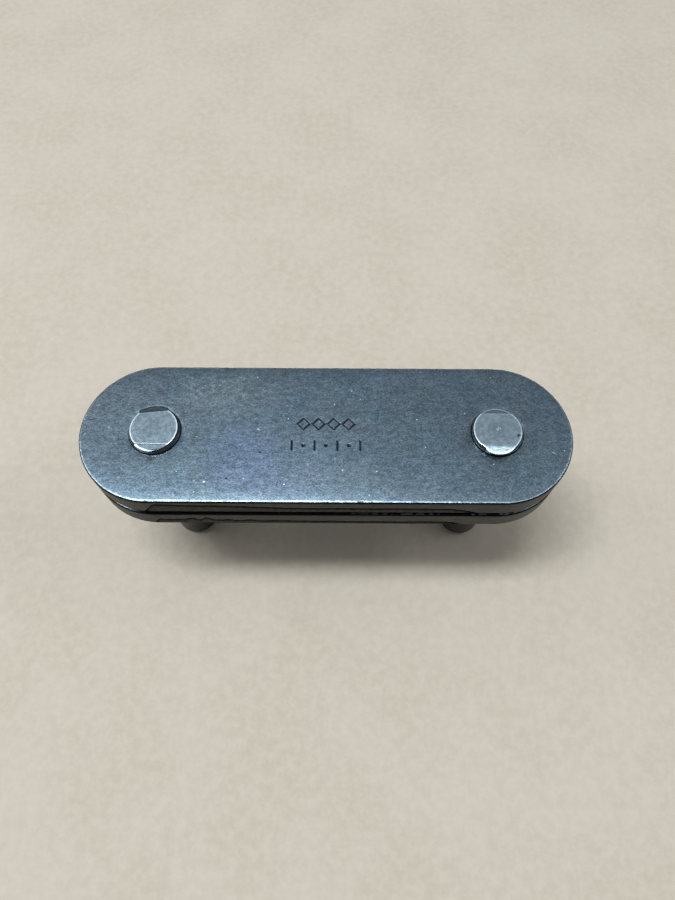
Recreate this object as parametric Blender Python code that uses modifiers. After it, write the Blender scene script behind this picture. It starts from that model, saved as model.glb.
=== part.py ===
"""Outer link of a heavy double-pitch roller chain, standing on the free ends of its two pins.

Both pins are pressed into the fixed plate and staked over at its outer face. The loose plate slides
on the same pins. It is stored close under the fixed plate; in a chain it sits further down, with the
bushes of the two adjoining links between the plates, and a split pin through each cross hole holds it.

Units are metres and +Z is up. X runs from pin to pin, and the origin lies on the surface that the
link stands on, midway between the pins.
"""

import math

import bmesh
import bpy

# Driving dimensions
PITCH = 0.0635
PLATE_HEIGHT = 0.0281
PLATE_THICKNESS = 0.0048
PIN_DIAMETER = 0.00953
PIN_LENGTH = 0.0470
HEAD_RISE = 0.0012  # how far a staked head stands above the fixed plate
STORED_GAP = 0.0014  # between the two plates, as the link is stored

# Fits and small features
PRESSED_CLEARANCE = 0.00003  # radial, pin in fixed plate
SLIDING_CLEARANCE = 0.00005  # radial, pin in loose plate
EDGE_ROUNDING = 0.0004
HEAD_CHAMFER = 0.00025
FREE_END_CHAMFER = 0.0008
STAKE_OFFSET = 0.00335  # from the pin's axis to each flat that the staking tool leaves
STAKE_DEPTH = 0.00045
CROSS_HOLE_DIAMETER = 0.0032
CROSS_HOLE_HEIGHT = 0.0050

# Places that follow from the driving dimensions
END_RADIUS = PLATE_HEIGHT / 2
PIN_RADIUS = PIN_DIAMETER / 2
FIXED_PLATE_TOP = PIN_LENGTH - HEAD_RISE
FIXED_PLATE_MIDDLE = FIXED_PLATE_TOP - PLATE_THICKNESS / 2
LOOSE_PLATE_MIDDLE = FIXED_PLATE_MIDDLE - PLATE_THICKNESS - STORED_GAP
PIN_PLACES = {"pin_left": -PITCH / 2, "pin_right": PITCH / 2}

# How finely round shapes are drawn. Pins and holes share one count, so that their facets line up.
PIN_STEPS = 64
PLATE_END_STEPS = 32
CROSS_HOLE_STEPS = 24
BEVEL_STEPS = 2
SHARP_ANGLE = math.radians(30)
FLAT_ANGLE = math.radians(1)
WELD_DISTANCE = 1e-6
CUTTER_OVERSHOOT = 0.002  # how far a cutter reaches past the material that it removes


def clear_scene():
    for item in list(bpy.data.objects):
        bpy.data.objects.remove(item, do_unlink=True)


def new_collection(name):
    collection = bpy.data.collections.new(name)
    bpy.context.scene.collection.children.link(collection)
    return collection


def steel(name, colour, roughness):
    material = bpy.data.materials.new(name)
    material.use_nodes = True
    shader = material.node_tree.nodes["Principled BSDF"]
    shader.inputs["Base Color"].default_value = (*colour, 1.0)
    shader.inputs["Metallic"].default_value = 1.0
    shader.inputs["Roughness"].default_value = roughness
    return material


def place(item, collection, parent=None):
    """Keep the object in one collection only, under its parent."""
    for other in list(item.users_collection):
        other.objects.unlink(item)
    collection.objects.link(item)
    item.parent = parent


def as_cutter(item, collection):
    item.hide_render = True
    item.display_type = "WIRE"
    place(item, collection)


def evaluated_mesh(item):
    graph = bpy.context.evaluated_depsgraph_get()
    return bpy.data.meshes.new_from_object(item.evaluated_get(graph))


def cut(item, cutter):
    modifier = item.modifiers.new(cutter.name, "BOOLEAN")
    modifier.operation = "DIFFERENCE"
    modifier.solver = "EXACT"
    modifier.object = cutter


def apply_and_shade(item):
    """Turn the modifiers' result into the object's own mesh, smooth except at its sharp edges."""
    mesh = evaluated_mesh(item)
    item.modifiers.clear()
    item.data = mesh
    mesh.name = item.name
    mesh.shade_smooth()
    mesh.set_sharp_from_angle(angle=SHARP_ANGLE)


def round_cutter(name, radius, length, steps, cutters, location, rotation=(0.0, 0.0, 0.0)):
    bpy.ops.mesh.primitive_cylinder_add(
        vertices=steps, radius=radius, depth=length, location=location, rotation=rotation
    )
    cutter = bpy.context.object
    cutter.name = name
    as_cutter(cutter, cutters)
    return cutter


def stadium_points():
    """The plate's outline: a half circle about each pin, joined by straight sides."""
    points = []
    for side in (1, -1):
        for step in range(PLATE_END_STEPS + 1):
            angle = math.pi * (step / PLATE_END_STEPS - 0.5)
            x = PITCH / 2 + END_RADIUS * math.cos(angle)
            points.append((side * x, side * END_RADIUS * math.sin(angle)))
    return points


def stadium_solid(name):
    """The plate's blank, from a filled 2D curve, with each cap as one face so that it bevels evenly."""
    curve = bpy.data.curves.new(name, "CURVE")
    curve.dimensions = "2D"
    curve.fill_mode = "BOTH"
    curve.extrude = PLATE_THICKNESS / 2
    points = stadium_points()
    spline = curve.splines.new("POLY")
    spline.points.add(len(points) - 1)
    for point, (x, y) in zip(spline.points, points):
        point.co = (x, y, 0.0, 1.0)
    spline.use_cyclic_u = True
    outline = bpy.data.objects.new(name + "_outline", curve)
    bpy.context.scene.collection.objects.link(outline)
    mesh = evaluated_mesh(outline)
    bpy.data.objects.remove(outline, do_unlink=True)

    shape = bmesh.new()
    shape.from_mesh(mesh)
    bmesh.ops.remove_doubles(shape, verts=shape.verts, dist=WELD_DISTANCE)
    flat = [edge for edge in shape.edges if edge.calc_face_angle() < FLAT_ANGLE]
    bmesh.ops.dissolve_edges(shape, edges=flat)
    bmesh.ops.recalc_face_normals(shape, faces=shape.faces)
    shape.to_mesh(mesh)
    shape.free()
    return mesh


def make_plate(name, middle, clearance, material, parts, cutters, parent):
    """One straight-sided plate with rounded edges and a round hole for each pin."""
    plate = bpy.data.objects.new(name, stadium_solid(name))
    plate.location.z = middle
    place(plate, parts, parent)
    plate.data.materials.append(material)
    bevel = plate.modifiers.new("edge_rounding", "BEVEL")
    bevel.width = EDGE_ROUNDING
    bevel.segments = BEVEL_STEPS
    bevel.limit_method = "ANGLE"
    bevel.angle_limit = SHARP_ANGLE
    for pin, x in PIN_PLACES.items():
        hole = round_cutter(
            f"{name}_{pin}_hole",
            PIN_RADIUS + clearance,
            PLATE_THICKNESS + 2 * CUTTER_OVERSHOOT,
            PIN_STEPS,
            cutters,
            location=(x, 0.0, middle),
        )
        cut(plate, hole)
    apply_and_shade(plate)
    return plate


def pin_profile():
    """Radius and height along the pin's outline, from the head's centre down to the free end's."""
    return [
        (0.0, PIN_LENGTH),
        (PIN_RADIUS - HEAD_CHAMFER, PIN_LENGTH),
        (PIN_RADIUS, PIN_LENGTH - HEAD_CHAMFER),
        (PIN_RADIUS, FREE_END_CHAMFER),
        (PIN_RADIUS - FREE_END_CHAMFER, 0.0),
        (0.0, 0.0),
    ]


def turned_pin(name):
    profile = pin_profile()
    mesh = bpy.data.meshes.new(name)
    points = [(radius, 0.0, height) for radius, height in profile]
    mesh.from_pydata(points, [(i, i + 1) for i in range(len(points) - 1)], [])
    pin = bpy.data.objects.new(name, mesh)
    screw = pin.modifiers.new("turning", "SCREW")
    screw.axis = "Z"
    screw.angle = 2 * math.pi
    screw.steps = PIN_STEPS
    screw.render_steps = PIN_STEPS
    screw.use_merge_vertices = True
    screw.merge_threshold = WELD_DISTANCE
    return pin


def stake_cutter(name, x, side, cutters):
    """A block over one side of the head. The staking tool presses this crescent of the head down."""
    width = PIN_RADIUS
    height = STAKE_DEPTH + CUTTER_OVERSHOOT
    location = (x, side * (STAKE_OFFSET + width / 2), PIN_LENGTH - STAKE_DEPTH + height / 2)
    bpy.ops.mesh.primitive_cube_add(size=1.0, location=location)
    cutter = bpy.context.object
    cutter.name = name
    cutter.scale = (PIN_DIAMETER + 2 * CUTTER_OVERSHOOT, width, height)
    as_cutter(cutter, cutters)
    return cutter


def make_pin(name, x, material, parts, cutters, parent):
    """A bearing pin: staked head, plain shank, and a cross hole for a split pin near the free end."""
    pin = turned_pin(name)
    pin.location.x = x
    place(pin, parts, parent)
    pin.data.materials.append(material)
    for word, side in (("near", -1), ("far", 1)):
        cut(pin, stake_cutter(f"{name}_{word}_stake", x, side, cutters))
    cross_hole = round_cutter(
        f"{name}_cross_hole",
        CROSS_HOLE_DIAMETER / 2,
        PIN_DIAMETER + 2 * CUTTER_OVERSHOOT,
        CROSS_HOLE_STEPS,
        cutters,
        location=(x, 0.0, CROSS_HOLE_HEIGHT),
        rotation=(0.0, math.pi / 2, 0.0),
    )
    cut(pin, cross_hole)
    apply_and_shade(pin)
    return pin


def main():
    clear_scene()
    parts = new_collection("chain_outer_link")
    cutters = new_collection("cutters")
    frame = bpy.data.objects.new("link_frame", None)
    place(frame, parts)
    plate_steel = steel("plate_steel", (0.15, 0.18, 0.21), 0.42)
    pin_steel = steel("pin_steel", (0.34, 0.38, 0.41), 0.30)
    for name, x in PIN_PLACES.items():
        make_pin(name, x, pin_steel, parts, cutters, frame)
    make_plate("fixed_plate", FIXED_PLATE_MIDDLE, PRESSED_CLEARANCE, plate_steel, parts, cutters, frame)
    make_plate("loose_plate", LOOSE_PLATE_MIDDLE, SLIDING_CLEARANCE, plate_steel, parts, cutters, frame)


main()
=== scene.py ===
"""Looks of a heavy roller chain's outer link: two blanked steel plates on two staked bearing pins.

Every visible piece is a fine mesh that stands for one CAD node and takes its place and size from it.
Lengths in the helpers are in millimetres, and MM turns them into the frame's metres.
"""

import math

import bpy
import numpy as np
from mathutils import Matrix, Vector, noise
from mathutils.geometry import delaunay_2d_cdt


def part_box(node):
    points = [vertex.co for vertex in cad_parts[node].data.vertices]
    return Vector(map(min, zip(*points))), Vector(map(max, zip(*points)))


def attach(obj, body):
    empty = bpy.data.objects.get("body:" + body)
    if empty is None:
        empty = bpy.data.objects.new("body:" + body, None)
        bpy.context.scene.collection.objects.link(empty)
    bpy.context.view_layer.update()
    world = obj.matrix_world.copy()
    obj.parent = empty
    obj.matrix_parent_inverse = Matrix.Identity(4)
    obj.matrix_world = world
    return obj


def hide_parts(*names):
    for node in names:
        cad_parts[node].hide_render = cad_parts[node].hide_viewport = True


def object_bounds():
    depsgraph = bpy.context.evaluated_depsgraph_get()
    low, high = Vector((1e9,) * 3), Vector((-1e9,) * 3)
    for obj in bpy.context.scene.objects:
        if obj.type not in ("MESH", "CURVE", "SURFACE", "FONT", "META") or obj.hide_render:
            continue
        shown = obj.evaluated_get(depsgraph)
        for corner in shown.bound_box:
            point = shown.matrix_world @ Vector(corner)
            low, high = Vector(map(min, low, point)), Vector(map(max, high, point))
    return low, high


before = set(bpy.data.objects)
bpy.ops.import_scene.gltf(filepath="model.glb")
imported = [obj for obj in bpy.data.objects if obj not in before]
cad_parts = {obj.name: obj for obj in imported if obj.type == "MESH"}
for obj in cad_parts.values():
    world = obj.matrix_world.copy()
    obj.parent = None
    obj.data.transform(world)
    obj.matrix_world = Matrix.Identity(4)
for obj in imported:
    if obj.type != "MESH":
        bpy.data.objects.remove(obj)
cad_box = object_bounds()

MM = 0.001


# ---------------------------------------------------------------- sizes, read from the frame

def node_box_mm(node):
    low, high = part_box(node)
    return np.array(low) / MM, np.array(high) / MM


FIXED_LOW, FIXED_HIGH = node_box_mm("fixed_plate")
LOOSE_TOP = node_box_mm("loose_plate")[1][2]
PIN_LOW, PIN_HIGH = node_box_mm("pin_right")

THICKNESS = FIXED_HIGH[2] - FIXED_LOW[2]  # of both plates
END_RADIUS = (FIXED_HIGH[1] - FIXED_LOW[1]) / 2
PIN_RADIUS = (PIN_HIGH[0] - PIN_LOW[0]) / 2
HALF_PITCH = (PIN_HIGH[0] + PIN_LOW[0]) / 2
PIN_TOP = PIN_HIGH[2]
FIXED_TOP = FIXED_HIGH[2]
FLOOR_HEIGHT = cad_box[0][2] / MM

# ---------------------------------------------------------------- shape of the small features

# Plates
OUTLINE_STEP = 0.20  # along the outline
FLAT_STEP = 1.1  # between the free points of a flat face
ROLL_WIDTH = 3.1  # how far in from the edge the punched face rolls down
ROLL_DEPTH = 0.064
ROLL_ROWS = 18
DENT_IN_EDGE = 0.12  # depth of the dents in the upper corner
WAVE_IN_EDGE = 0.028  # depth of the fine waves along it
CORNER_RADIUS = 0.28
CORNER_ROWS = 10
LOWER_CORNER_RADIUS = 0.08
LOWER_CORNER_ROWS = 5
WALL_ROWS = 42
WALL_TAPER = 0.03
GROOVE_DEPTH = 0.26  # along the line where the wall turns from smooth to broken
GROOVE_HALF_WIDTH = 0.36
HOLE_CLEARANCE = 0.05
HOLE_CHAMFER = 0.07
HOLE_STEPS = 128

# Painted shade, from 0 to 1
FAR_SIDE_SHADE = 0.4  # beside the near side's
UNDERSIDE_SHADE = 0.3
LOOSE_EDGE_SHADE = 0.95

# Pins
PIN_STEPS = 192
HEAD_ROUNDING = 0.08
HEAD_STEP = 0.11  # between the free points of a head's face
STAKE_STEP = 0.045  # between their rows near a stake's edge
HEAD_FLAT_REACH = 2.9  # how far from the middle the wider rows reach
SIDE_ROWS_BELOW_HEAD = 6
SHANK_ROWS = 24
FREE_END_CHAMFER = 1.25
DENT_DEPTH = 0.04
CROSS_HOLE_RADIUS = 1.6
CROSS_HOLE_HEIGHT = 5.0
CROSS_HOLE_CHAMFER = 0.25
CUTTER_STEPS = 64
SHARP_ANGLE = math.radians(24)

WELD_DISTANCE = 1e-7  # points that are closer are one point when a face is filled

SEED_STRIDE = (17.31, 5.77, 11.13)  # how far apart the patterns of two neighbouring seeds are taken


# ---------------------------------------------------------------- mesh helpers

class Surface:
    """Points in millimetres, faces, and one value per point for each named mask."""

    def __init__(self, *mask_names):
        self.points = []
        self.faces = []
        self.masks = {name: [] for name in mask_names}

    def ring(self, points, **masks):
        """Add points, with masks as numbers or arrays, and return their indices."""
        start = len(self.points)
        points = np.asarray(points, float)
        self.points.extend(map(tuple, points))
        for name, values in self.masks.items():
            values.extend(np.broadcast_to(masks.get(name, 0.0), len(points)).tolist())
        return np.arange(start, start + len(points))

    def bridge(self, upper, lower):
        """Quads from one closed ring to the next. Rings run anticlockwise seen from above."""
        ahead_upper, ahead_lower = np.roll(upper, -1), np.roll(lower, -1)
        quads = np.stack([upper, lower, ahead_lower, ahead_upper], axis=1)
        self.faces.extend(map(tuple, quads.tolist()))

    def fill(self, loops, inner_xy, height, facing_up, keep=None, **masks):
        """Triangles inside the first loop and outside the others, with free points at height(x, y)."""
        inner = np.asarray(inner_xy, float).reshape(-1, 2)
        added = self.ring(np.column_stack([inner, height(inner[:, 0], inner[:, 1])]), **masks)
        index = np.concatenate([*loops, added])
        flat = [Vector(self.points[i][:2]) for i in index]
        edges, start = [], 0
        for loop in loops:
            n = len(loop)
            edges.extend((start + i, start + (i + 1) % n) for i in range(n))
            start += n
        points, _, triangles, sources, _, _ = delaunay_2d_cdt(flat, edges, [], 0, WELD_DISTANCE)
        where = [same_as[0] for same_as in sources]
        for triangle in triangles:
            middle = sum((points[i] for i in triangle), Vector((0.0, 0.0))) / 3
            if keep is not None and not keep(middle.x, middle.y):
                continue
            corners = [int(index[where[i]]) for i in triangle]
            self.faces.append(tuple(corners if facing_up else reversed(corners)))

    def build(self, name):
        mesh = bpy.data.meshes.new(name)
        mesh.from_pydata([tuple(c * MM for c in p) for p in self.points], [], self.faces)
        for mask, values in self.masks.items():
            layer = mesh.attributes.new(mask, "FLOAT", "POINT")
            layer.data.foreach_set("value", np.array(values, np.float32))
        mesh.update()
        mesh.shade_smooth()
        piece = bpy.data.objects.new(name, mesh)
        bpy.context.scene.collection.objects.link(piece)
        return piece


def smooth_step(x, low=0.0, high=1.0):
    t = np.clip((np.asarray(x, float) - low) / (high - low), 0.0, 1.0)
    return t * t * (3 - 2 * t)


def noise_at(points, size, seed):
    """Smooth noise, about -1 to 1, for each point. It repeats every call and varies over `size` mm."""
    shift = Vector([seed * stride for stride in SEED_STRIDE])
    return np.array([noise.noise(Vector(p) / size + shift) for p in points])


def circle(radius, steps, centre_x=0.0):
    angle = np.linspace(0, 2 * math.pi, steps, endpoint=False)
    return np.column_stack([centre_x + radius * np.cos(angle), radius * np.sin(angle)])


# ---------------------------------------------------------------- plates

class Outline:
    """The stadium: for each point along it, its foot on the line between the pins and the way out."""

    def __init__(self):
        arc_steps = round(math.pi * END_RADIUS / OUTLINE_STEP)
        side_steps = round(2 * HALF_PITCH / OUTLINE_STEP)
        feet, ways = [], []
        for side in (1, -1):
            for k in range(arc_steps):
                angle = math.pi * (k / arc_steps - 0.5)
                feet.append((side * HALF_PITCH, 0.0))
                ways.append((side * math.cos(angle), side * math.sin(angle)))
            for k in range(side_steps):
                feet.append((side * HALF_PITCH * (1 - 2 * k / side_steps), 0.0))
                ways.append((0.0, float(side)))
        self.feet = np.array(feet)
        self.ways = np.array(ways)

    def at(self, outward, height):
        """Points this far out from the nominal outline, which may be arrays, at this height."""
        reach = (END_RADIUS + np.broadcast_to(outward, len(self.feet)))[:, None]
        xy = self.feet + self.ways * reach
        return np.column_stack([xy, np.broadcast_to(height, len(xy))])

    def straightness(self):
        """1 along the straight sides and 0 around the ends."""
        return smooth_step(np.abs(self.ways[:, 1]), 0.93, 0.999)


OUTLINE = Outline()


def roll_drop(inward):
    """How far the punched face has rolled down this far in from the edge."""
    near = np.clip((ROLL_WIDTH - inward) / (ROLL_WIDTH - CORNER_RADIUS), 0, 1)
    return ROLL_DEPTH * near**2


def edge_dings(nominal, seed):
    """How deep the upper corner is nicked at each point: a few dents, and fine waves everywhere."""
    dents = noise_at(nominal, 1.2, seed) + 0.6 * noise_at(nominal, 0.5, seed + 1)
    waves = noise_at(nominal, 0.75, seed + 7) + 0.7 * noise_at(nominal, 0.34, seed + 8)
    return DENT_IN_EDGE * np.clip(dents - 0.42, 0, None) + WAVE_IN_EDGE * np.clip(waves + 0.6, 0, None)


def break_depth(shear, seed):
    """Depth at which the sheared wall turns from smooth to broken, along the outline.

    Towards the ends it runs out below the plate, and at the near left only from the pin on.
    """
    nominal = OUTLINE.at(0.0, 0.0)
    x = nominal[:, 0]
    along = smooth_step(x, -0.95 * HALF_PITCH, 0.0)
    depth = shear["left_depth"] + (shear["right_depth"] - shear["left_depth"]) * along
    depth += 0.22 * noise_at(nominal, 7.0, seed + 2) + 0.10 * noise_at(nominal, 0.9, seed + 4)
    near_left = (x < 0) & (nominal[:, 1] < 0)
    runs_out = np.where(near_left, -1.2, -10.0)
    depth += THICKNESS * smooth_step(np.abs(x) - HALF_PITCH, runs_out, 2.6)
    bites = np.abs(noise_at(nominal, 2.2, seed + 3)) * 2.4
    return depth - shear["bites"] * bites * (1 - 0.85 * along)


def near_share(nominal):
    """How much of the painted shade each point of the outline has: 1 on the near side, less on the far
    side.
    """
    return FAR_SIDE_SHADE + (1 - FAR_SIDE_SHADE) * smooth_step(-nominal[:, 1], 0, 8)


def unshaded_patches(nominal, seed):
    """1 in the patches, on the right half of the near edge, where the painted shade along the edge is
    left out.
    """
    patches = smooth_step(noise_at(nominal, 0.9, seed + 9), 0.04, 0.24) * (nominal[:, 1] < 0)
    return patches * smooth_step(nominal[:, 0], 0.0, 14.0)


def wall_span(top):
    """Heights at which the sheared wall starts and ends."""
    return top - ROLL_DEPTH - CORNER_RADIUS, top - THICKNESS + LOWER_CORNER_RADIUS


def roll_rows(top, ding, edge_grime):
    """Rings of the punched face, from where it starts to roll down to its rounded corner."""
    rows = []
    for inward in np.geomspace(ROLL_WIDTH, CORNER_RADIUS, ROLL_ROWS):
        drop = roll_drop(inward) + ding * smooth_step(0.50 - inward, 0, 0.22)
        worn = float(smooth_step(0.46 - inward, 0, 0.18))
        # Painted shade on the face close to the edge
        in_shade = float(smooth_step(0.85 - inward, 0, 0.25))
        masks = {"wear": 0.7 * worn, "grime": edge_grime * in_shade}
        rows.append((OUTLINE.at(-inward, top - drop), masks))
    return rows


def corner_rows(top, ding, edge_grime):
    """Rings over the upper corner. It is worn bright at its top, and from there down it takes the wall's
    colour under painted shade.
    """
    shoulder = top - ROLL_DEPTH
    tilt_start = math.atan(2 * ROLL_DEPTH / (ROLL_WIDTH - CORNER_RADIUS))
    rows = []
    for angle in np.linspace(tilt_start, math.pi / 2, CORNER_ROWS)[1:]:
        out = -CORNER_RADIUS * (1 - math.sin(angle))
        down = CORNER_RADIUS * (1 - math.cos(angle))
        wall = float(smooth_step(angle, 0.17, 0.36))
        masks = {"wear": 1.0 - wall, "wall": wall, "grime": np.maximum(edge_grime, wall)}
        rows.append((OUTLINE.at(out - ding * 0.8, shoulder - down - ding), masks))
    return rows


def wall_rows(top, seed, shear, near_side):
    """Rings down the sheared wall: smooth at first, then a groove with painted shade in it, and broken
    below it.
    """
    wall_top, wall_low = wall_span(top)
    straight = OUTLINE.straightness()
    line = top - break_depth(shear, seed)
    rows = []
    for height in np.linspace(wall_top, wall_low, WALL_ROWS)[1:]:
        place = OUTLINE.at(0.0, height)
        below = smooth_step(line - height, -0.06, 0.16) * straight
        groove = np.minimum(1.4 * np.exp(-(((line - height) / GROOVE_HALF_WIDTH) ** 2)), 1) * straight
        grain = noise_at(place, 0.55, seed + 5) + 0.5 * noise_at(place, 0.25, seed + 6)
        taper = WALL_TAPER * (wall_top - height) / THICKNESS
        out = -0.03 * below - GROOVE_DEPTH * groove + 0.03 * grain * (0.2 + below) - taper
        # Painted shade: a near-black band just below the upper corner, strongest on the near side
        shade = smooth_step(height - wall_top, -0.60, -0.30) * near_side
        # Painted shade in the groove, stronger on the near side
        groove_shade = groove**2 * (0.45 + 0.55 * near_side)
        masks = {"wall": 1.0, "fracture": below, "grime": np.maximum(groove_shade, shade)}
        rows.append((OUTLINE.at(out, height), masks))
    return rows


def lower_rows(top):
    """Rings round the lower corner and onto the lower face."""
    wall_top, wall_low = wall_span(top)
    wall_out = -WALL_TAPER * (wall_top - wall_low) / THICKNESS
    rows = []
    for angle in np.linspace(0, math.pi / 2, LOWER_CORNER_ROWS)[1:]:
        out = wall_out - LOWER_CORNER_RADIUS * (1 - math.cos(angle))
        height = wall_low - LOWER_CORNER_RADIUS * math.sin(angle)
        wall = float(1 - smooth_step(angle, 0.5, 1.2))
        rows.append((OUTLINE.at(out, height), {"wall": wall, "wear": 0.5}))
    inner = OUTLINE.at(wall_out - LOWER_CORNER_RADIUS - 0.5, top - THICKNESS)
    # Painted shade over the lower face
    rows.append((inner, {"grime": UNDERSIDE_SHADE}))
    return rows


def plate_rows(top, seed, shear, grime):
    """Rings from the rolled face over the corner and down the sheared wall to the lower face."""
    nominal = OUTLINE.at(0.0, top)
    near_side = near_share(nominal)
    # Painted shade along the loose plate's straight near edge, which lies in the gap under the fixed
    # plate; the fixed plate passes none
    edge_grime = grime * OUTLINE.straightness() * (1 - unshaded_patches(nominal, seed)) * near_side
    ding = edge_dings(nominal, seed)
    rows = roll_rows(top, ding, edge_grime) + corner_rows(top, ding, edge_grime)
    return rows + wall_rows(top, seed, shear, near_side) + lower_rows(top)


def hole_rows(top, centre_x):
    """Rings of a pin hole, from its chamfer at the upper face down to its edge at the lower face."""
    radius = PIN_RADIUS + HOLE_CLEARANCE
    low = top - THICKNESS
    # The chamfer and the bore are drawn near-black: painted shade in the gap round the pin
    profile = [
        (radius + HOLE_CHAMFER + 0.08, top, 0.0),
        (radius + HOLE_CHAMFER, top - 0.02, 1.0),
        (radius + 0.55 * HOLE_CHAMFER, top - 0.45 * HOLE_CHAMFER, 1.0),
        (radius + 0.05, top - 0.95 * HOLE_CHAMFER, 1.0),
        (radius, top - 1.25 * HOLE_CHAMFER, 1.0),
        (radius, low + 0.5 * HOLE_CHAMFER, 1.0),
        (radius + 0.12, low + 0.1, 1.0),
        (radius + 0.22, low, 0.4),
    ]
    rows = []
    for ring_radius, height, wall in profile:
        xy = circle(ring_radius, HOLE_STEPS, centre_x)
        rows.append((np.column_stack([xy, np.full(len(xy), height)]), {"wall": wall, "grime": wall}))
    return rows


def flat_points(margin):
    """A plain net of free points on a plate's face, clear of its outer ring and its holes."""
    xs = np.arange(-HALF_PITCH - END_RADIUS, HALF_PITCH + END_RADIUS, FLAT_STEP)
    ys = np.arange(-END_RADIUS, END_RADIUS, FLAT_STEP)
    xy = np.array([(x, y) for x in xs for y in ys])
    from_line = np.hypot(np.clip(np.abs(xy[:, 0]) - HALF_PITCH, 0, None), xy[:, 1])
    from_pin = np.hypot(np.abs(xy[:, 0]) - HALF_PITCH, xy[:, 1])
    hole = PIN_RADIUS + HOLE_CLEARANCE + HOLE_CHAMFER + 0.5
    return xy[(from_line < END_RADIUS - margin) & (from_pin > hole)]


def off_the_holes(radius):
    """A test for points that are further than this from both pins' axes."""
    return lambda x, y: math.hypot(abs(x) - HALF_PITCH, y) > radius


# ---------------------------------------------------------------- generic punch mark

MARK_DIAMONDS = [(-4.2, 1.75), (-1.4, 1.75), (1.4, 1.75), (4.2, 1.75)]
MARK_DIAMOND_REACH = 1.15
MARK_TICKS = [(-6.3, -2.7), (-2.1, -2.7), (2.1, -2.7), (6.3, -2.7)]
MARK_TICK_REACH = 0.95
MARK_DOTS = [(-4.2, -2.7), (0.0, -2.7), (4.2, -2.7)]
MARK_DOT_RADIUS = 0.30
MARK_STROKE = 0.11  # half of a stroke's width
MARK_DEPTH = 0.11
MARK_STEP = 0.08  # between the points that draw it


def mark_distance(x, y):
    """Distance from the mark's strokes: a row of diamonds above a row of ticks and dots."""
    found = [np.hypot(x - dot_x, y - dot_y) - MARK_DOT_RADIUS for dot_x, dot_y in MARK_DOTS]
    for tick_x, tick_y in MARK_TICKS:
        past_end = np.clip(np.abs(y - tick_y) - MARK_TICK_REACH, 0, None)
        found.append(np.hypot(x - tick_x, past_end) - MARK_STROKE)
    for middle_x, middle_y in MARK_DIAMONDS:
        from_sides = (np.abs(x - middle_x) + np.abs(y - middle_y) - MARK_DIAMOND_REACH) / math.sqrt(2)
        found.append(np.abs(from_sides) - MARK_STROKE)
    return np.min(found, axis=0)


def mark_sink(x, y):
    return MARK_DEPTH * (1 - smooth_step(mark_distance(x, y), -0.16, 0.08))


def mark_points():
    """Close-set points where the mark is pressed in, and none elsewhere."""
    xs = np.arange(-7.5, 7.5, MARK_STEP)
    ys = np.arange(-4.0, 3.4, MARK_STEP)
    xy = np.array([(x, y) for x in xs for y in ys])
    return xy[mark_distance(xy[:, 0], xy[:, 1]) < 0.32]


def fill_upper_face(plate, loops, top, marked):
    """The flat part of the upper face, with the mark pressed in if there is one."""
    xy = flat_points(ROLL_WIDTH + 0.45)
    if marked:
        clear = mark_distance(xy[:, 0], xy[:, 1]) > 0.5
        xy = np.concatenate([xy[clear], mark_points()])
    plate.fill(
        loops,
        xy,
        lambda x, y: top - mark_sink(x, y) * float(marked),
        facing_up=True,
        keep=off_the_holes(PIN_RADIUS + HOLE_CLEARANCE + HOLE_CHAMFER + 0.07),
        mark=(1 - smooth_step(mark_distance(*xy.T), 0.05, 0.13)) * float(marked),
    )


def fill_lower_face(plate, loops, top):
    plate.fill(
        loops,
        flat_points(1.2),
        lambda x, y: np.full(len(x), top - THICKNESS),
        facing_up=False,
        keep=off_the_holes(PIN_RADIUS + HOLE_CLEARANCE + 0.21),
        # Painted shade over the lower face
        grime=UNDERSIDE_SHADE,
    )


def make_plate(name, node, body, top, seed, shear, marked, grime):
    plate = Surface("wear", "wall", "fracture", "grime", "mark")
    rings = [plate.ring(points, **masks) for points, masks in plate_rows(top, seed, shear, grime)]
    for upper, lower in zip(rings, rings[1:]):
        plate.bridge(upper, lower)
    holes = []
    for centre_x in (-HALF_PITCH, HALF_PITCH):
        hole = [plate.ring(points, **masks) for points, masks in hole_rows(top, centre_x)]
        for upper, lower in zip(hole, hole[1:]):
            plate.bridge(lower, upper)
        holes.append(hole)
    fill_upper_face(plate, [rings[0], holes[0][0], holes[1][0]], top, marked)
    fill_lower_face(plate, [rings[-1], holes[0][-1], holes[1][-1]], top)
    piece = plate.build(name)
    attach(piece, body)
    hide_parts(node)
    return piece


# ---------------------------------------------------------------- pins

def beyond_stake(x, y, stake):
    """How far these points lie outside the straight edge of a staked side, from the pin's axis."""
    turn = math.radians(stake["turn"])
    return stake["side"] * (y * math.cos(turn) - x * math.sin(turn)) - stake["offset"]


def head_drop(x, y, head):
    """How far the head lies below its top at these points: its staked sides and its small dents."""
    drop = np.zeros(len(x))
    for stake in head["stakes"]:
        beyond = beyond_stake(x, y, stake)
        step = smooth_step(beyond, -0.5 * stake["edge"], 0.5 * stake["edge"])
        eased = (np.sqrt(beyond**2 + stake["onset"] ** 2) + beyond) / 2
        drop += stake["depth"] * step + eased * math.tan(math.radians(stake["slope"]))
    return drop + DENT_DEPTH * spot_share(x, y, head["dents"])


def spot_share(x, y, spots):
    """1 at the middle of each spot (x, y, radius), 0 away from them."""
    share = np.zeros(len(x))
    for spot_x, spot_y, radius in spots:
        share += np.exp(-(((x - spot_x) ** 2 + (y - spot_y) ** 2) / radius**2))
    return np.minimum(share, 1)


def staked(x, y, head, quality):
    """The named quality of a staked side where it is, 0 elsewhere."""
    share = np.zeros(len(x))
    for stake in head["stakes"]:
        inside = smooth_step(beyond_stake(x, y, stake), -0.3 * stake["edge"], 0.6 * stake["edge"])
        share = np.maximum(share, stake[quality] * inside)
    return share


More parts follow.
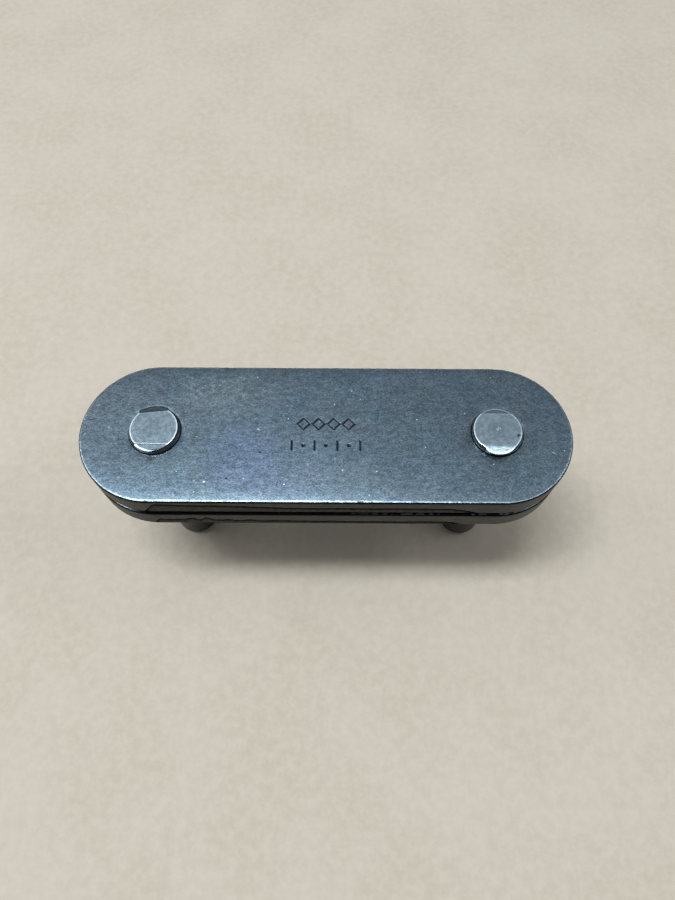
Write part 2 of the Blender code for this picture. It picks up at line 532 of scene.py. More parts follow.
def rubbed_edges(x, y, head):
    """1 where the head's top is rubbed bright: along the upper edges of its staked sides and its rim."""
    on_top = 1 - smooth_step(head_drop(x, y, head), 0.03, 0.10)
    to_rim = head_radius(x, y, head) - np.hypot(x, y)
    bright = 0.75 * on_top * smooth_step(to_rim, 0.24, 0.06)
    for stake in head["stakes"]:
        from_edge = beyond_stake(x, y, stake) + 0.35 * stake["edge"]
        bright = np.maximum(bright, stake["rub"] * np.exp(-((from_edge / 0.10) ** 2)))
    return bright


def head_radius(x, y, head):
    """Radius of the head's flat top in the direction of these points, less where its rim is bitten."""
    radius = np.full(len(x), head["radius"] - HEAD_ROUNDING)
    azimuth = np.degrees(np.arctan2(y, x)) % 360
    for middle, width, depth in head["bites"]:
        radius -= depth * np.exp(-(((azimuth - middle) / width) ** 2))
    return radius


def head_points(head):
    """A net of free points over the head, closest near the stakes' edges and turned along them."""
    reach = head["radius"]
    xs = np.arange(-reach, reach, HEAD_STEP)
    near = np.arange(-reach, -HEAD_FLAT_REACH, STAKE_STEP)
    rows = np.concatenate([near, np.arange(-HEAD_FLAT_REACH + 0.05, HEAD_FLAT_REACH, HEAD_STEP), -near])
    near_tilt, far_tilt = [math.tan(math.radians(stake["turn"])) for stake in head["stakes"]]
    xy = []
    for y in rows:
        tilt = near_tilt if y < 0 else far_tilt
        xy.extend((x, y + x * tilt * min(1, abs(y) / HEAD_FLAT_REACH)) for x in xs)
    xy = np.array(xy)
    return xy[np.hypot(xy[:, 0], xy[:, 1]) < head_radius(*xy.T, head) - 0.09]


PIN_ANGLES = np.linspace(0, 2 * math.pi, PIN_STEPS, endpoint=False)
PIN_COSINES = np.cos(PIN_ANGLES)
PIN_SINES = np.sin(PIN_ANGLES)


def pin_ring(centre_x, radius, height):
    """A ring round a pin's axis. The radius and the height may be arrays."""
    radius = np.broadcast_to(radius, PIN_STEPS)
    height = np.broadcast_to(height, PIN_STEPS)
    return np.column_stack([centre_x + radius * PIN_COSINES, radius * PIN_SINES, height])


class HeadRim:
    """The edge of a head's upper face by angle: its radius, height and bulge, and its masks."""

    def __init__(self, head):
        self.radius = head_radius(PIN_COSINES, PIN_SINES, head)
        place = (self.radius * PIN_COSINES, self.radius * PIN_SINES, head)
        self.height = PIN_TOP - head_drop(*place)
        sunk = PIN_TOP - self.height
        near = PIN_SINES < 0
        # Painted shade on the right side of a head with lean: its bright rim is dimmed there, and its
        # sunk near edge is drawn dark
        right_shade = head["lean"] * (1 - smooth_step(-PIN_COSINES, -0.15, 0.35))
        on_top = 0.9 * smooth_step(sunk, 0.12, 0.0)
        self.bright = np.maximum(on_top, staked(*place, "rim") * (1 - right_shade))
        self.side_shade = right_shade * smooth_step(sunk, 0.0, 0.10) * near
        self.pressed = staked(*place, "shine")
        self.dull = staked(*place, "dull")
        flattened = head["lean"] * smooth_step(PIN_COSINES, -0.1, 0.5) * near
        self.bulge = staked(*place, "bulge") * smooth_step(sunk, 0.0, 0.25) * (1 - flattened)


def head_rows(centre_x, head):
    """Rings from the edge of the head's upper face, over its rim and down its side to the plate."""
    rim = HeadRim(head)

    def shifted(radius, height, share):
        points = pin_ring(centre_x, radius, height)
        points[:, 0] += head["shift"] * share
        return points

    masks = {"head": 1.0, "rim": rim.bright, "pressed": rim.pressed, "dull": rim.dull, "side": rim.side_shade}
    rows = [(shifted(rim.radius, rim.height, 1.0), masks)]
    for turn in np.linspace(0, math.radians(75), 6)[1:]:
        out = (HEAD_ROUNDING + rim.bulge) * math.sin(turn)
        height = rim.height - HEAD_ROUNDING * (1 - math.cos(turn)) * (1 + 0.8 * rim.bulge)
        # The rim's bright steel stays on the upper part of the rounding; further down it turns into
        # painted shade
        lit = float(1 - smooth_step(turn, 0.5, 1.1))
        masks = {"head": 1.0, "rim": rim.bright * lit, "pressed": rim.pressed * lit, "dull": rim.dull}
        masks["side"] = 1 - lit * (1 - rim.side_shade)
        rows.append((shifted(rim.radius + out, height, 1.0), masks))
    rim_radius = rim.radius + HEAD_ROUNDING + rim.bulge
    rim_low = rim.height - HEAD_ROUNDING
    # The side down to the plate is drawn near-black: painted shade
    for share in np.linspace(0, 1, SIDE_ROWS_BELOW_HEAD)[1:]:
        height = rim_low + (FIXED_TOP + 0.02 - rim_low) * share
        radius = rim_radius + (PIN_RADIUS - rim_radius) * min(1.0, 1.6 * share) ** 0.8
        rows.append((shifted(radius, height, 1.0 - share), {"side": 1.0}))
    return rows


def shank_rows(centre_x):
    """Rings down the shank, round the free end's chamfer and over its face."""
    # Painted shade where the shank goes into the hole
    rows = [(pin_ring(centre_x, PIN_RADIUS, FIXED_TOP - 0.3), {"side": 1.0})]
    for height in np.linspace(FIXED_TOP - 1.0, FREE_END_CHAMFER + 0.3, SHANK_ROWS):
        rows.append((pin_ring(centre_x, PIN_RADIUS, height), {}))
    chamfer = [
        (0.0, FREE_END_CHAMFER + 0.10), (0.04, FREE_END_CHAMFER - 0.06), (0.12, FREE_END_CHAMFER - 0.2),
        (FREE_END_CHAMFER * 0.85, 0.12), (FREE_END_CHAMFER * 0.97, 0.02), (FREE_END_CHAMFER * 1.15, 0.0),
    ]
    for inward, height in chamfer:
        rows.append((pin_ring(centre_x, PIN_RADIUS - inward, FLOOR_HEIGHT + height), {}))
    for radius in (3.0, 2.0, 1.0):
        rows.append((pin_ring(centre_x, radius, FLOOR_HEIGHT), {}))
    return rows


def countersunk_cutter(centre_x):
    """A round bar along X whose ends flare, so that the hole that it cuts has deburred mouths."""
    bar = Surface()
    reach = PIN_RADIUS + 1.0
    flare = CROSS_HOLE_RADIUS + CROSS_HOLE_CHAMFER + 1.0
    profile = [
        (-reach, flare), (-PIN_RADIUS + CROSS_HOLE_CHAMFER + 0.25, CROSS_HOLE_RADIUS),
        (PIN_RADIUS - CROSS_HOLE_CHAMFER - 0.25, CROSS_HOLE_RADIUS), (reach, flare),
    ]
    rings = []
    for x, radius in profile:
        y, z = circle(radius, CUTTER_STEPS).T
        points = np.column_stack([np.full(CUTTER_STEPS, centre_x + x), y, CROSS_HOLE_HEIGHT + z])
        rings.append(bar.ring(points))
    for first, second in zip(rings, rings[1:]):
        bar.bridge(second, first)
    bar.faces.append(tuple(rings[0][::-1].tolist()))
    bar.faces.append(tuple(rings[-1].tolist()))
    return bar.build("cross_hole_cutter")


def cut_away(piece, cutter):
    """Cut the cutter's shape out of the piece for good, and remove the cutter."""
    modifier = piece.modifiers.new("cut", "BOOLEAN")
    modifier.operation = "DIFFERENCE"
    modifier.solver = "EXACT"
    modifier.object = cutter
    bpy.context.view_layer.update()
    graph = bpy.context.evaluated_depsgraph_get()
    mesh = bpy.data.meshes.new_from_object(piece.evaluated_get(graph))
    piece.modifiers.clear()
    piece.data = mesh
    mesh.shade_smooth()
    mesh.set_sharp_from_angle(angle=SHARP_ANGLE)
    bpy.data.objects.remove(cutter, do_unlink=True)


def make_pin(name, node, centre_x, head):
    pin = Surface("head", "rim", "side", "pressed", "dull")
    rows = head_rows(centre_x, head) + shank_rows(centre_x)
    rings = [pin.ring(points, **masks) for points, masks in rows]
    for upper, lower in zip(rings, rings[1:]):
        pin.bridge(upper, lower)
    inner = head_points(head)
    middle_x = centre_x + head["shift"]
    pin.fill(
        [rings[0]],
        inner + np.array([middle_x, 0.0]),
        lambda x, y: PIN_TOP - head_drop(x - middle_x, y, head),
        facing_up=True,
        head=1.0,
        rim=np.maximum(rubbed_edges(*inner.T, head), spot_share(*inner.T, head["glints"])),
        pressed=staked(*inner.T, head, "shine"),
        dull=staked(*inner.T, head, "dull"),
        # Painted shade in the dents
        side=0.9 * spot_share(*inner.T, head["dents"]),
    )
    tip = int(pin.ring([(centre_x, 0.0, FLOOR_HEIGHT)])[0])
    last = rings[-1].tolist()
    pin.faces.extend((last[i], tip, last[(i + 1) % len(last)]) for i in range(len(last)))
    piece = pin.build(name)
    cut_away(piece, countersunk_cutter(centre_x))
    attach(piece, "pin_link")
    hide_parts(node)
    return piece


# ---------------------------------------------------------------- materials

ANY_HEIGHT = 1e6  # half height of stains and nicks, so large that they don't depend on height


class Nodes:
    """Short hand for building a material's node tree."""

    def __init__(self, name):
        self.material = bpy.data.materials.new(name)
        self.material.use_nodes = True
        self.tree = self.material.node_tree
        self.shader = self.tree.nodes["Principled BSDF"]
        self.here = self.add("ShaderNodeTexCoord").outputs["Object"]

    def add(self, kind, **settings):
        node = self.tree.nodes.new(kind)
        for key, value in settings.items():
            setattr(node, key, value)
        return node

    def link(self, value, socket):
        """Give the socket a number, a colour or another node's output."""
        if isinstance(value, bpy.types.NodeSocket):
            self.tree.links.new(value, socket)
        elif isinstance(value, (tuple, list)) and len(value) == 3 and socket.type == "RGBA":
            socket.default_value = (*value, 1.0)
        else:
            socket.default_value = value

    def math(self, operation, a, b=0.0):
        node = self.add("ShaderNodeMath", operation=operation)
        self.link(a, node.inputs[0])
        self.link(b, node.inputs[1])
        return node.outputs[0]

    def mix(self, share, a, b):
        """The colour a where share is 0, and b where it is 1."""
        node = self.add("ShaderNodeMix", data_type="RGBA")
        self.link(share, node.inputs["Factor"])
        self.link(a, node.inputs["A"])
        self.link(b, node.inputs["B"])
        return node.outputs["Result"]

    def blend(self, share, a, b):
        """The number a where share is 0, and b where it is 1."""
        node = self.add("ShaderNodeMix", data_type="FLOAT")
        self.link(share, node.inputs["Factor"])
        self.link(a, node.inputs["A"])
        self.link(b, node.inputs["B"])
        return node.outputs["Result"]

    def range(self, value, low, high, to_low=0.0, to_high=1.0):
        """A smooth step from to_low at low to to_high at high."""
        node = self.add("ShaderNodeMapRange", interpolation_type="SMOOTHSTEP")
        for socket, given in zip(node.inputs, (value, low, high, to_low, to_high)):
            self.link(given, socket)
        return node.outputs["Result"]

    def placed(self, stretch=(1.0, 1.0, 1.0), turn=(0.0, 0.0, 0.0)):
        """Object coordinates in millimetres, turned and stretched."""
        node = self.add("ShaderNodeMapping")
        self.link(self.here, node.inputs["Vector"])
        node.inputs["Rotation"].default_value = turn
        node.inputs["Scale"].default_value = [s / MM for s in stretch]
        return node.outputs["Vector"]

    def noise(self, size, detail=3.0, roughness=0.55, at=None):
        """Noise from 0 to 1 that varies over `size` millimetres."""
        node = self.add("ShaderNodeTexNoise")
        self.link(at or self.placed(), node.inputs["Vector"])
        node.inputs["Scale"].default_value = 1 / size
        node.inputs["Detail"].default_value = detail
        node.inputs["Roughness"].default_value = roughness
        return node.outputs["Fac"]

    def cells(self, size):
        """Distance to the nearest of scattered points about `size` millimetres apart, and its colour."""
        node = self.add("ShaderNodeTexVoronoi")
        self.link(self.placed(), node.inputs["Vector"])
        node.inputs["Scale"].default_value = 1 / size
        return node.outputs["Distance"], node.outputs["Color"]

    def mask(self, name):
        return self.add("ShaderNodeAttribute", attribute_name=name).outputs["Fac"]

    def bump(self, height, distance):
        node = self.add("ShaderNodeBump")
        node.inputs["Distance"].default_value = distance * MM
        self.link(height, node.inputs["Height"])
        return node.outputs["Normal"]

    def finish(self, colour, roughness, metallic, normal, specular_level=0.5):
        self.shader.inputs["Specular IOR Level"].default_value = specular_level
        self.link(colour, self.shader.inputs["Base Color"])
        self.link(roughness, self.shader.inputs["Roughness"])
        self.link(metallic, self.shader.inputs["Metallic"])
        self.link(normal, self.shader.inputs["Normal"])
        return self.material


def local(n, centre, half_size, turn=0.0):
    """Distance from this centre in half sizes, in the plane of the plates. The turn is in degrees."""
    node = n.add("ShaderNodeMapping", vector_type="TEXTURE")
    n.link(n.placed(), node.inputs["Vector"])
    node.inputs["Location"].default_value = (*centre, 0.0)
    node.inputs["Rotation"].default_value = (0.0, 0.0, math.radians(turn))
    node.inputs["Scale"].default_value = (*half_size, ANY_HEIGHT)
    length = n.add("ShaderNodeVectorMath", operation="LENGTH")
    n.link(node.outputs["Vector"], length.inputs[0])
    return length.outputs["Value"]


def blotch(n, centre, half_size):
    """A soft stain with an uneven edge, 0 to 1."""
    edge = n.math("SUBTRACT", n.noise(2.6, 4.0, 0.6), 0.5)
    return n.range(n.math("ADD", local(n, centre, half_size), edge), 1.25, 0.35)


def nick(n, x, y, length, width, turn):
    """A small scratch or dot, 0 to 1, with its length along X before it is turned."""
    return n.range(local(n, (x, y), (0.6 * length, 0.6 * width), turn), 1.2, 0.5)


def specks(n, size, radius, share):
    """Sparse dots: a share of the cells of a scatter, each with a dot of this radius, all in mm."""
    distance, tone = n.cells(size)
    dot = n.range(n.math("MULTIPLY", distance, size), radius, 0.5 * radius)
    pick = n.add("ShaderNodeSeparateColor")
    n.link(tone, pick.inputs[0])
    chosen = n.math("LESS_THAN", pick.outputs[0], share)
    return n.math("MULTIPLY", n.math("MULTIPLY", dot, chosen), pick.outputs[1])


# Colours are linear red, green and blue.
FACE_STEEL = (0.205, 0.250, 0.288)
FACE_STEEL_COOL = (0.190, 0.246, 0.292)
FACE_STAIN = (0.200, 0.246, 0.335)
FACE_SCUFF = (0.380, 0.415, 0.425)
FACE_PALE = (0.270, 0.310, 0.345)
FACE_HALO = (0.120, 0.140, 0.150)
FACE_PALE_SPECK = (0.48, 0.54, 0.57)
FACE_PIT = (0.085, 0.105, 0.125)
FACE_WORN = (0.62, 0.68, 0.70)
SPARK = (0.85, 0.92, 0.95)
NICK_DARK = (0.020, 0.024, 0.030)
NICK_BRIGHT = (0.90, 0.95, 0.97)
# Painted shade: near-black put where shade falls on the plates
PAINTED_SHADE = (0.005, 0.005, 0.005)
WALL_DARK = (0.014, 0.014, 0.014)
WALL_LIGHT = (0.050, 0.049, 0.048)
WALL_BROWN = (0.030, 0.026, 0.022)
MARK_DARK = (0.030, 0.036, 0.042)
BREAK_DARK = (0.034, 0.033, 0.032)
BREAK_LIGHT = (0.068, 0.066, 0.064)


def scuff_ticks(n):
    """Short pale ticks along X, 0.1 to 1."""
    ticks = n.range(n.noise(0.50, 3.0, 0.75, at=n.placed(stretch=(0.6, 1.0, 1.0))), 0.46, 0.66)
    return n.math("ADD", n.math("MULTIPLY", ticks, 0.9), 0.10)


def stained_face(n, patches, stains):
    """The face's blue-grey in broad patches, under its stains."""
    face = n.mix(n.range(patches, 0.35, 0.65), FACE_STEEL, FACE_STEEL_COOL)
    for tone, centre, size, strength in stains:
        mask = blotch(n, centre, size)
        if tone is FACE_SCUFF:
            mask = n.math("MULTIPLY", mask, scuff_ticks(n))
        face = n.mix(n.math("MULTIPLY", mask, strength), face, tone)
    return face


def shaded(n, face, mottle, grain):
    """The face made brighter and darker by its grain, its mottling and soft clouds."""
    clouds = n.noise(2.6, 3.0, 0.6, at=n.placed(stretch=(0.7, 1.0, 1.0)))
    by_grain = n.range(grain, 0.28, 0.72, 0.56, 1.46)
    by_mottle = n.range(mottle, 0.25, 0.75, 0.90, 1.12)
    by_clouds = n.range(clouds, 0.30, 0.70, 0.90, 1.11)
    shade = n.add("ShaderNodeVectorMath", operation="SCALE")
    n.link(face, shade.inputs[0])
    n.link(n.math("MULTIPLY", n.math("MULTIPLY", by_grain, by_mottle), by_clouds), shade.inputs["Scale"])
    return shade.outputs["Vector"]


def speckled(n, face, sparks, nicks):
    """The face with its bright sparks, pale and dark specks, and nicks."""
    face = n.mix(sparks, face, SPARK)
    face = n.mix(specks(n, 0.62, 0.12, 0.30), face, FACE_PALE_SPECK)
    face = n.mix(specks(n, 0.70, 0.13, 0.22), face, FACE_PIT)
    face = n.mix(specks(n, 3.3, 0.17, 0.30), face, NICK_DARK)
    for x, y, length, width, turn, tone in nicks:
        face = n.mix(nick(n, x, y, length, width, turn), face, tone)
    return face


def wall_colour(n, patches, shear_lines):
    """The sheared wall: smeared dark steel with fine upright lines, and paler where it is broken."""
    smears = n.noise(1.5, 5.0, 0.62, at=n.placed(stretch=(0.6, 0.6, 1.6)))
    wall = n.mix(n.range(smears, 0.30, 0.66), WALL_DARK, WALL_LIGHT)
    wall = n.mix(n.range(shear_lines, 0.35, 0.65, 0.40, 0.0), wall, WALL_DARK)
    wall = n.mix(n.range(patches, 0.40, 0.62, 0.0, 0.4), wall, WALL_BROWN)
    broken = n.mix(n.range(n.noise(0.55, 4.0, 0.6), 0.36, 0.66), BREAK_DARK, BREAK_LIGHT)
    return n.mix(n.mask("fracture"), wall, broken)


def plate_roughness(n, mottle, sparks):
    roughness = n.range(mottle, 0.2, 0.8, 0.27, 0.34)
    roughness = n.blend(n.mask("wear"), roughness, 0.44)
    roughness = n.blend(n.mask("wall"), roughness, 0.38)
    roughness = n.blend(n.mask("fracture"), roughness, 0.60)
    return n.blend(sparks, roughness, 0.45)


def plate_steel(name, seed, stains=(), nicks=()):
    """Heat-treated plate: mottled blue-grey faces, dark sheared walls and brighter worn corners."""
    n = Nodes(name)
    patches = n.noise(9.0, 3.0, at=n.placed(turn=(0.0, 0.0, 0.3 * seed)))
    mottle = n.noise(0.75, 3.0, 0.6, at=n.placed(stretch=(0.6, 1.0, 1.0)))
    grain = n.noise(0.22, 3.0, 0.65, at=n.placed(stretch=(0.62, 1.0, 1.0), turn=(0.0, 0.0, 0.05)))
    shear_lines = n.noise(0.17, 3.0, 0.6, at=n.placed(stretch=(1.0, 1.0, 0.14)))
    sparks = specks(n, 1.5, 0.16, 0.40)

    face = speckled(n, shaded(n, stained_face(n, patches, stains), mottle, grain), sparks, nicks)
    worn = n.math("MULTIPLY", n.mask("wear"), n.range(n.noise(0.8, 4.0, 0.7), 0.36, 0.66))
    face = n.mix(n.math("MULTIPLY", worn, 0.9), face, FACE_WORN)
    colour = n.mix(n.mask("wall"), face, wall_colour(n, patches, shear_lines))
    colour = n.mix(n.mask("mark"), colour, MARK_DARK)
    # Painted shade: the places that this mask marks are drawn near-black
    colour = n.mix(n.mask("grime"), colour, PAINTED_SHADE)

    height = n.math("ADD", n.math("MULTIPLY", mottle, 0.5), n.math("MULTIPLY", grain, 0.6))
    metallic = n.blend(n.mask("wall"), 1.0, n.range(shear_lines, 0.35, 0.75, 0.30, 0.60))
    roughness = plate_roughness(n, mottle, sparks)
    return n.finish(colour, roughness, metallic, n.bump(height, 0.010), specular_level=0.05)


HEAD_STEEL = (0.405, 0.49, 0.55)
HEAD_STEEL_PALE = (0.52, 0.62, 0.69)
PRESSED_STEEL = (0.60, 0.68, 0.71)
PRESSED_DARK = (0.22, 0.265, 0.29)
HEAD_TURNED = (0.60, 0.68, 0.72)
HEAD_MIDDLE = (0.30, 0.36, 0.41)
HEAD_GRAIN_PALE = (0.66, 0.73, 0.76)
HEAD_GRAIN_DARK = (0.20, 0.24, 0.27)
HEAD_STAKE_SHADE = (0.085, 0.115, 0.135)
# Painted shade on the pins' sides between head and plate, in the dents and on shaded rims
HEAD_SIDE_SHADE = (0.012, 0.017, 0.021)
RIM_STEEL = (0.86, 0.92, 0.94)
SHANK_STEEL = (0.170, 0.175, 0.178)
SHANK_STEEL_PALE = (0.270, 0.275, 0.278)
# Painted shade on the pins' lower ends, under the plates
FOOT_SHADE = (0.052, 0.051, 0.044)  # full up to about 5 mm above the floor and gone by 13 mm


def from_pin_axis(n, place):
    """Distance from the nearer pin's axis, from a split position."""
    across = n.add("ShaderNodeCombineXYZ")
    n.link(n.math("SUBTRACT", n.math("ABSOLUTE", place["X"]), HALF_PITCH), across.inputs["X"])
    n.link(place["Y"], across.inputs["Y"])
    length = n.add("ShaderNodeVectorMath", operation="LENGTH")
    n.link(across.outputs["Vector"], length.inputs[0])
    return length.outputs["Value"]


def shank_colour(n, mottle, height):
    """Mottled steel, with painted shade that darkens it near the free end."""
    shank = n.mix(mottle, SHANK_STEEL, SHANK_STEEL_PALE)
    above_foot = n.math("ADD", height, n.math("MULTIPLY", n.noise(3.0), 5.0))
    return n.mix(n.range(above_foot, 15.0, 8.0), shank, FOOT_SHADE)


def head_colour(n, mottle, grain, turning, streaks, from_axis):
    """Bright steel, duller in the middle, with turning marks and grain, under the head's masks."""
    head = n.mix(n.range(mottle, 0.32, 0.68), HEAD_STEEL, HEAD_STEEL_PALE)
    head = n.mix(n.range(turning, 0.38, 0.62, 0.0, 0.5), head, HEAD_TURNED)
    head = n.mix(n.range(from_axis, 2.6, 0.4, 0.0, 0.45), head, HEAD_MIDDLE)
    head = n.mix(n.range(grain, 0.50, 0.70, 0.0, 0.5), head, HEAD_GRAIN_PALE)
    head = n.mix(n.range(grain, 0.45, 0.30, 0.0, 0.5), head, HEAD_GRAIN_DARK)
    pressed = n.mix(n.range(streaks, 0.40, 0.60), PRESSED_DARK, PRESSED_STEEL)
    head = n.mix(n.mask("pressed"), head, pressed)
    # Painted shade over the far staked sides
    head = n.mix(n.mask("dull"), head, HEAD_STAKE_SHADE)
    head = n.mix(n.mask("rim"), head, RIM_STEEL)
    # Painted shade wherever the side mask marks: the sides under the rims, the dents and the right side
    # of a head with lean
    return n.mix(n.mask("side"), head, HEAD_SIDE_SHADE)


def pin_steel():
    """Ground and hardened pin: bright rubbed head with turning marks, fine rings round a duller shank."""
    n = Nodes("pin_steel")
    mottle = n.noise(0.8, 4.0, 0.6)
    grain = n.noise(0.20, 3.0, 0.6)
    rings = n.noise(0.10, 2.0, at=n.placed(stretch=(0.04, 0.04, 1.0)))
    streaks = n.noise(0.16, 3.0, 0.6, at=n.placed(stretch=(0.12, 1.0, 1.0)))
    place = n.add("ShaderNodeSeparateXYZ")
    n.link(n.placed(), place.inputs[0])
    from_axis = from_pin_axis(n, place.outputs)
    along_radius = n.add("ShaderNodeCombineXYZ")
    n.link(from_axis, along_radius.inputs["X"])
    turning = n.noise(0.30, 3.0, 0.6, at=along_radius.outputs["Vector"])

    shank = shank_colour(n, mottle, place.outputs["Z"])
    colour = n.mix(n.mask("head"), shank, head_colour(n, mottle, grain, turning, streaks, from_axis))
    roughness = n.range(mottle, 0.3, 0.7, 0.22, 0.28)
    roughness = n.blend(n.mask("pressed"), roughness, 0.46)
    roughness = n.blend(n.mask("rim"), roughness, 0.45)
    roughness = n.blend(n.mask("head"), 0.32, roughness)
    height = n.blend(n.mask("head"), rings, n.math("ADD", n.math("MULTIPLY", turning, 0.5), grain))
    height = n.blend(n.mask("pressed"), height, n.math("MULTIPLY", streaks, 2.0))
    return n.finish(colour, roughness, 1.0, n.bump(height, 0.006))


PAPER = (0.580, 0.462, 0.352)
PAPER_PALE = (0.622, 0.498, 0.390)
PAPER_FIBRE = (0.690, 0.556, 0.438)


def paper():
    """Matt brown paper with pale fibres and faint clouds."""
    n = Nodes("floor_paper")
    fibres = n.noise(2.2, 5.0, 0.7)
    cloud = n.noise(24.0, 4.0, 0.6)
    colour = n.mix(n.range(cloud, 0.34, 0.66), PAPER, PAPER_PALE)
    colour = n.mix(n.range(fibres, 0.34, 0.68, 0.0, 0.60), colour, PAPER_FIBRE)
    return n.finish(colour, 0.9, 0.0, n.bump(fibres, 0.02))


# ---------------------------------------------------------------- stage

FLOOR_SIZE = 3.0  # metres, as are the other lengths of the stage
FLOOR_DROP = 0.00005  # keeps the floor clear of the pins' end faces
LIGHT_TINT = (0.86, 1.0, 1.10)
LAMP_DISTANCE = 1.30
# name, way from the link, width along X, depth across it, power in watts
LAMPS = (
    ("key", (-0.215, -0.022, 0.976), 0.68, 0.18, 14.6),
    ("left_panel", (-0.67, 0.12, 0.73), 0.14, 0.70, 1.7),
    ("right_panel", (0.63, 0.04, 0.77), 0.14, 0.60, 2.2),
)
ROOM_BY_RISE = ((0.0, 0.30), (0.50, 0.27), (0.72, 0.26), (0.86, 0.33), (1.0, 0.36))  # sine of the rise
ROOM_NEAR_SHARE = 0.55  # how bright the viewer's side is beside the far side
ROOM_SIDES = (-0.70, 0.05)  # the room turns from near to far between these values of y


def make_floor():
    place = (0.0, 0.0, FLOOR_HEIGHT * MM - FLOOR_DROP)
    bpy.ops.mesh.primitive_plane_add(size=FLOOR_SIZE, location=place)
    floor = bpy.context.object
    floor.name = "floor"
    floor.data.materials.append(paper())


def add_lamp(name, way, width, depth, power):
    """A flat lamp this way from the link, facing it, with its width along X."""
    lamp = bpy.data.lights.new(name, "AREA")
    lamp.shape = "RECTANGLE"
    lamp.size = width
    lamp.size_y = depth
    lamp.energy = power
    lamp.color = tuple(c / max(LIGHT_TINT) for c in LIGHT_TINT)
    item = bpy.data.objects.new(name, lamp)
    item.location = way.normalized() * LAMP_DISTANCE
    item.rotation_euler = way.to_track_quat("Z", "X").to_euler()
    bpy.context.scene.collection.objects.link(item)


def make_lights():
    """The long lamp overhead, and a weak panel on either side that only the rounded edges mirror."""
    for name, way, width, depth, power in LAMPS:
        add_lamp(name, Vector(way), width, depth, power)


def make_world():
    """A dim room: brightest overhead, a little dimmer half-way down, and darker on the viewer's side."""
    world = bpy.data.worlds.new("room")
    bpy.context.scene.world = world
    world.use_nodes = True
    nodes, links = world.node_tree.nodes, world.node_tree.links
    background = nodes["Background"]
    parts = nodes.new("ShaderNodeSeparateXYZ")
    links.new(nodes.new("ShaderNodeTexCoord").outputs["Generated"], parts.inputs[0])
    rise = nodes.new("ShaderNodeValToRGB")
    links.new(parts.outputs["Z"], rise.inputs["Fac"])
    stops = rise.color_ramp.elements
    while len(stops) < len(ROOM_BY_RISE):
        stops.new(0.5)
    for stop, (place, strength) in zip(stops, ROOM_BY_RISE):
        stop.position = place
        stop.color = (strength, strength, strength, 1.0)
    depth = nodes.new("ShaderNodeMapRange")
    depth.interpolation_type = "SMOOTHSTEP"
    links.new(parts.outputs["Y"], depth.inputs["Value"])
    depth.inputs["From Min"].default_value = ROOM_SIDES[0]
    depth.inputs["From Max"].default_value = ROOM_SIDES[1]
    depth.inputs["To Min"].default_value = ROOM_NEAR_SHARE
    depth.inputs["To Max"].default_value = 1.0
    both = nodes.new("ShaderNodeMath")
    both.operation = "MULTIPLY"
    links.new(rise.outputs["Color"], both.inputs[0])
    links.new(depth.outputs["Result"], both.inputs[1])
    background.inputs["Color"].default_value = (*LIGHT_TINT, 1.0)
    links.new(both.outputs[0], background.inputs["Strength"])


# From a fit to the outlines in the photo
CAMERA_PLACE = (0.00192, -0.05662, 0.15843)
CAMERA_TILT = 25.18  # degrees from straight down
CAMERA_TURN = -0.21
CAMERA_ROLL = 0.50
CAMERA_LENS = 27.17  # millimetres, on a sensor of this width
CAMERA_SENSOR = 36.0


def make_camera():
    data = bpy.data.cameras.new("camera")
    data.sensor_width = CAMERA_SENSOR
    data.lens = CAMERA_LENS
    data.clip_start = 0.005
    camera = bpy.data.objects.new("camera", data)
    turned = Matrix.Rotation(math.radians(CAMERA_TURN), 4, "Z")
    tilted = Matrix.Rotation(math.radians(CAMERA_TILT), 4, "X")
    rolled = Matrix.Rotation(math.radians(CAMERA_ROLL), 4, "Z")
    camera.matrix_world = Matrix.Translation(CAMERA_PLACE) @ turned @ tilted @ rolled
    bpy.context.scene.collection.objects.link(camera)
    bpy.context.scene.camera = camera


# ---------------------------------------------------------------- the link

# A staked side of a head: `side` is -1 near and 1 far. Its straight edge is turned by `turn` degrees and
# lies `offset` from the pin's axis. The face steps down by `depth` over the width `edge`, and beyond it
# falls off by `slope` degrees, which sets in over `onset`. `bulge` is how far the rim is pushed out. The
# rest are from 0 to 1: bright pressed steel (`shine`), painted shade over the staked side (`dull`),
# a rubbed upper edge (`rub`) and a bright rim (`rim`).
#
# A head: `shift` moves it along X, and `lean` flattens its near right side and paints shade on its right
# side, most on the near right. Its bites are (degrees round the rim, width in degrees, depth). Its dents
# and glints are (x, y, radius); the dents are pressed in and painted dark as shade.
LEFT_HEAD = {
    "radius": 4.42,
    "shift": 0.0,
    "stakes": (
        dict(side=-1, turn=-1.2, offset=3.22, edge=0.14, depth=0.16, slope=-0.5, onset=0.01,
             shine=0.0, dull=0.0, rub=0.9, bulge=0.42, rim=0.85),
        dict(side=1, turn=6.5, offset=3.50, edge=0.20, depth=0.24, slope=14.0, onset=0.01,
             shine=0.0, dull=0.75, rub=0.35, bulge=0.50, rim=0.0),
    ),
    "lean": 0.95,
    "bites": (),
    "dents": (),
    "glints": (),
}
RIGHT_HEAD = {
    "radius": 4.48,
    "shift": -0.12,
    "stakes": (
        dict(side=-1, turn=0.0, offset=3.32, edge=0.6, depth=0.0, slope=13.0, onset=0.60,
             shine=1.0, dull=0.0, rub=0.0, bulge=0.45, rim=1.0),
        dict(side=1, turn=0.0, offset=3.45, edge=0.16, depth=0.07, slope=6.0, onset=0.01,
             shine=0.0, dull=0.45, rub=0.55, bulge=0.15, rim=0.8),
    ),
    "lean": 0.0,
    "bites": ((231.0, 8.0, 0.22),),
    "dents": ((3.80, -0.9, 0.26), (3.62, -1.15, 0.16)),
    "glints": ((-0.05, 0.15, 0.17), (0.45, 0.35, 0.12), (0.15, 0.6, 0.10)),
}

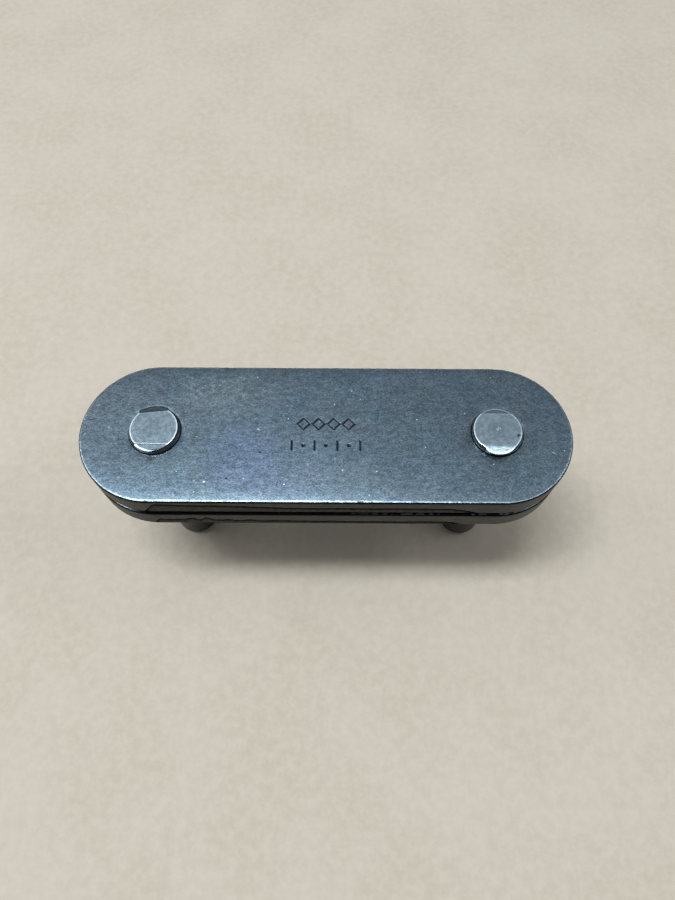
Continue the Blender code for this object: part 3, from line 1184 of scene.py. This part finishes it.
# Depth of the break line at the left end and from the middle on, and how ragged it is
FIXED_SHEAR = {"left_depth": 1.8, "right_depth": 3.2, "bites": 0.12}
LOOSE_SHEAR = {"left_depth": 3.5, "right_depth": 4.0, "bites": 0.95}
# tone, centre, half size, strength
FIXED_PLATE_STAINS = (
    (FACE_STAIN, (-15.0, -5.0), (8.5, 8.0), 0.85),
    (FACE_STAIN, (-7.0, -10.0), (8.0, 3.5), 0.6),
    (FACE_SCUFF, (-19.0, 8.5), (8.5, 4.8), 1.0),
    (FACE_PALE, (-40.0, 6.0), (9.0, 9.0), 0.45),
    (FACE_PALE, (-21.0, 6.0), (13.0, 7.0), 0.35),
    (FACE_PALE, (1.0, -9.5), (12.0, 3.5), 0.30),
    (FACE_HALO, (-39.0, -5.0), (9.0, 9.0), 0.16),
    (FACE_HALO, (25.0, -1.0), (20.0, 13.0), 0.13),
    (FACE_HALO, (-31.5, -1.2), (6.8, 6.4), 0.30),
    (FACE_HALO, (31.0, -1.2), (7.0, 6.6), 0.45),
)
# centre x and y, length, width, turn in degrees, tone
FIXED_PLATE_NICKS = (
    (-12.1, -4.2, 0.65, 0.24, -20.0, NICK_DARK),
    (-8.7, -10.4, 1.10, 0.13, 88.0, NICK_DARK),
    (-17.9, -9.4, 0.42, 0.34, 0.0, NICK_DARK),
    (-43.7, 2.4, 1.90, 0.14, 8.0, NICK_DARK),
    (-21.8, -10.1, 0.42, 0.36, 0.0, NICK_BRIGHT),
    (-12.6, 0.5, 0.40, 0.30, 0.0, NICK_BRIGHT),
    (41.7, -4.0, 0.80, 0.14, -30.0, NICK_BRIGHT),
)


def make_link():
    fixed = make_plate(
        "fixed_plate_steel", "fixed_plate", "pin_link", FIXED_TOP,
        seed=3, shear=FIXED_SHEAR, marked=True, grime=0.0,
    )
    fixed_steel = plate_steel("fixed_plate_steel", 1, FIXED_PLATE_STAINS, FIXED_PLATE_NICKS)
    fixed.data.materials.append(fixed_steel)
    loose = make_plate(
        "loose_plate_steel", "loose_plate", "loose_plate", LOOSE_TOP,
        seed=41, shear=LOOSE_SHEAR, marked=False, grime=LOOSE_EDGE_SHADE,
    )
    loose.data.materials.append(plate_steel("loose_plate_steel", 2))
    steel = pin_steel()
    for name, node, centre_x, head in (
        ("left_pin_steel", "pin_left", -HALF_PITCH, LEFT_HEAD),
        ("right_pin_steel", "pin_right", HALF_PITCH, RIGHT_HEAD),
    ):
        pin = make_pin(name, node, centre_x, head)
        pin.data.materials.clear()
        pin.data.materials.append(steel)


make_camera()
make_floor()
make_lights()
make_world()
make_link()
bpy.context.scene.view_settings.view_transform = "Standard"
